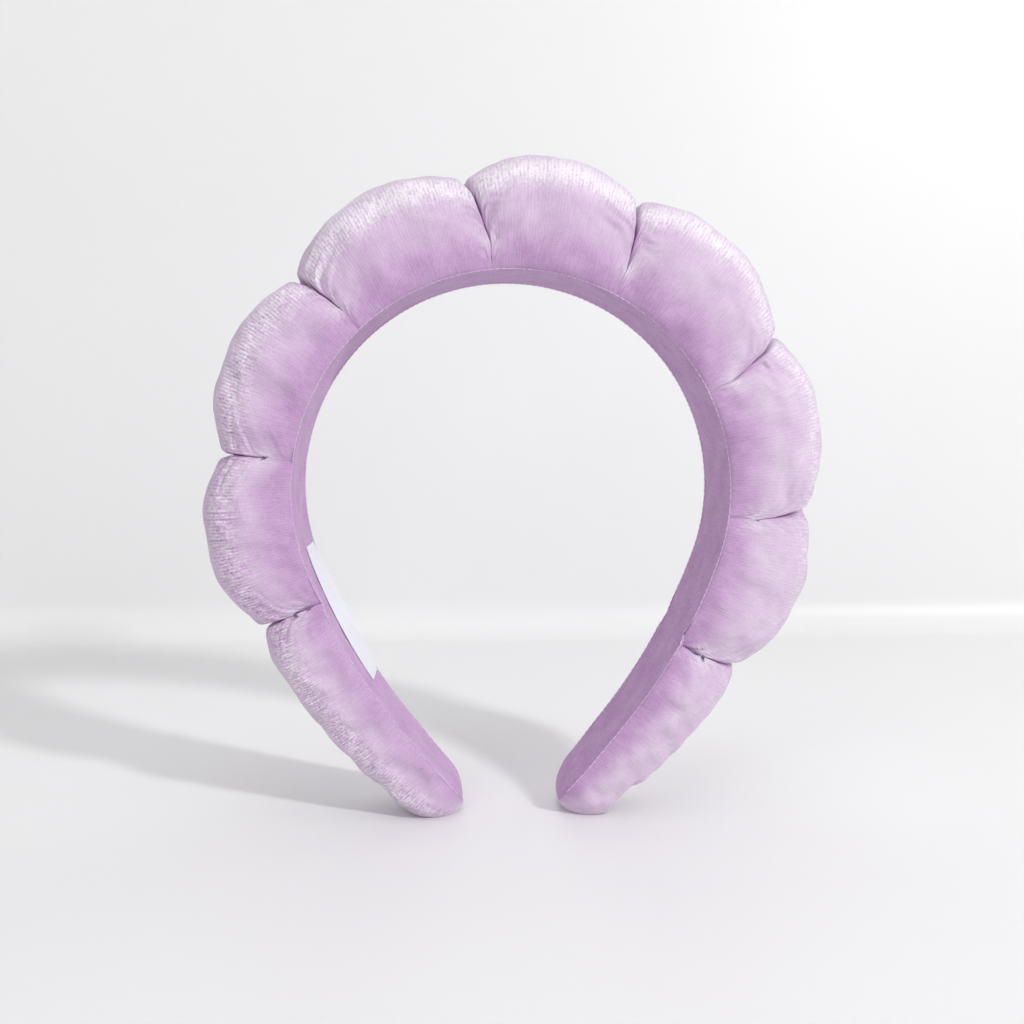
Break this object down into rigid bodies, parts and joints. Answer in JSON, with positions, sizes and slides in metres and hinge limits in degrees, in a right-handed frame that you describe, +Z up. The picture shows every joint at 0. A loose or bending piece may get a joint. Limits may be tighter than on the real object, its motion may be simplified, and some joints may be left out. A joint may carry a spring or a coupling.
{
  "type": "spa headband",
  "caption": "Open C-shaped padded headband of crushed velvet, gathered into puffs between two smooth tapering tails over a springy hoop.",
  "frame": {"origin": "centre of the bounding box at the bottom, on the surface that the two tips stand on", "axes": "+Z up to the crown, X across the band from arm to arm, Y front to back through the head opening"},
  "size_m": [0.1808, 0.0422, 0.1913],
  "materials": {
    "cover_velvet": "pale lilac crushed velvet with a whitish sheen on the rims",
    "lining_velvet": "the same velvet with the pile lying flat, ribbed across, deeper mauve in the shade",
    "sponge": "open-cell cream sponge",
    "hoop_plastic": "satin moulded plastic strip",
    "cinch_thread": "twisted dark purple sewing thread",
    "seam_thread": "lilac seam thread",
    "label_satin": "blank white woven satin"
  },
  "bodies": {
    "crown": {"hoop_crown": "hoop_plastic", "cover_crown": "cover_velvet", "lining_crown": "lining_velvet", "seam_front_crown": "seam_thread", "seam_back_crown": "seam_thread", "sponge_crown": "sponge", "cinch_thread_left_1": "cinch_thread", "cinch_thread_right_1": "cinch_thread"},
    "left_upper": {"hoop_left_upper": "hoop_plastic", "cover_left_upper": "cover_velvet", "lining_left_upper": "lining_velvet", "seam_front_left_upper": "seam_thread", "seam_back_left_upper": "seam_thread", "sponge_left_upper": "sponge", "cinch_thread_left_2": "cinch_thread"},
    "left_side": {"hoop_left_side": "hoop_plastic", "cover_left_side": "cover_velvet", "lining_left_side": "lining_velvet", "seam_front_left_side": "seam_thread", "seam_back_left_side": "seam_thread", "sponge_left_side": "sponge", "cinch_thread_left_3": "cinch_thread"},
    "left_end": {"hoop_left_end": "hoop_plastic", "cover_left_end": "cover_velvet", "lining_left_end": "lining_velvet", "seam_front_left_end": "seam_thread", "seam_back_left_end": "seam_thread", "sponge_left_tail": "sponge", "sponge_left_lower": "sponge", "cinch_thread_left_4": "cinch_thread", "label": "label_satin", "label_stitch_lower": "label_satin", "label_stitch_upper": "label_satin"},
    "right_upper": {"hoop_right_upper": "hoop_plastic", "cover_right_upper": "cover_velvet", "lining_right_upper": "lining_velvet", "seam_front_right_upper": "seam_thread", "seam_back_right_upper": "seam_thread", "sponge_right_upper": "sponge", "cinch_thread_right_2": "cinch_thread"},
    "right_side": {"hoop_right_side": "hoop_plastic", "cover_right_side": "cover_velvet", "lining_right_side": "lining_velvet", "seam_front_right_side": "seam_thread", "seam_back_right_side": "seam_thread", "sponge_right_side": "sponge", "cinch_thread_right_3": "cinch_thread"},
    "right_end": {"hoop_right_end": "hoop_plastic", "cover_right_end": "cover_velvet", "lining_right_end": "lining_velvet", "seam_front_right_end": "seam_thread", "seam_back_right_end": "seam_thread", "sponge_right_lower": "sponge", "sponge_right_tail": "sponge", "cinch_thread_right_4": "cinch_thread"}
  },
  "joints": [
    {"name": "left_crown_bend", "type": "hinge", "parent": "crown", "child": "left_upper", "pos_m": [-0.01207, 0, 0.15936], "axis": [0, 1, 0], "range_deg": [-2, 6], "stiffness_Nm_per_rad": 6},
    {"name": "left_upper_bend", "type": "hinge", "parent": "left_upper", "child": "left_side", "pos_m": [-0.04821, 0, 0.14044], "axis": [0, 1, 0], "range_deg": [-1.8, 5.4], "stiffness_Nm_per_rad": 6},
    {"name": "left_side_bend", "type": "hinge", "parent": "left_side", "child": "left_end", "pos_m": [-0.06595, 0, 0.10318], "axis": [0, 1, 0], "range_deg": [-1.3, 3.7], "stiffness_Nm_per_rad": 6},
    {"name": "right_crown_bend", "type": "hinge", "parent": "crown", "child": "right_upper", "pos_m": [0.02415, 0, 0.15486], "axis": [0, -1, 0], "range_deg": [-2, 6], "stiffness_Nm_per_rad": 6},
    {"name": "right_upper_bend", "type": "hinge", "parent": "right_upper", "child": "right_side", "pos_m": [0.05407, 0, 0.12855], "axis": [0, -1, 0], "range_deg": [-1.8, 5.4], "stiffness_Nm_per_rad": 6},
    {"name": "right_side_bend", "type": "hinge", "parent": "right_side", "child": "right_end", "pos_m": [0.0631, 0, 0.0922], "axis": [0, -1, 0], "range_deg": [-1.3, 3.7], "stiffness_Nm_per_rad": 6}
  ],
  "couplings": [
    {"joint": "left_upper_bend", "follows": "left_crown_bend", "ratio": 0.88},
    {"joint": "left_side_bend", "follows": "left_crown_bend", "ratio": 0.6},
    {"joint": "right_upper_bend", "follows": "right_crown_bend", "ratio": 0.88},
    {"joint": "right_side_bend", "follows": "right_crown_bend", "ratio": 0.6}
  ]
}
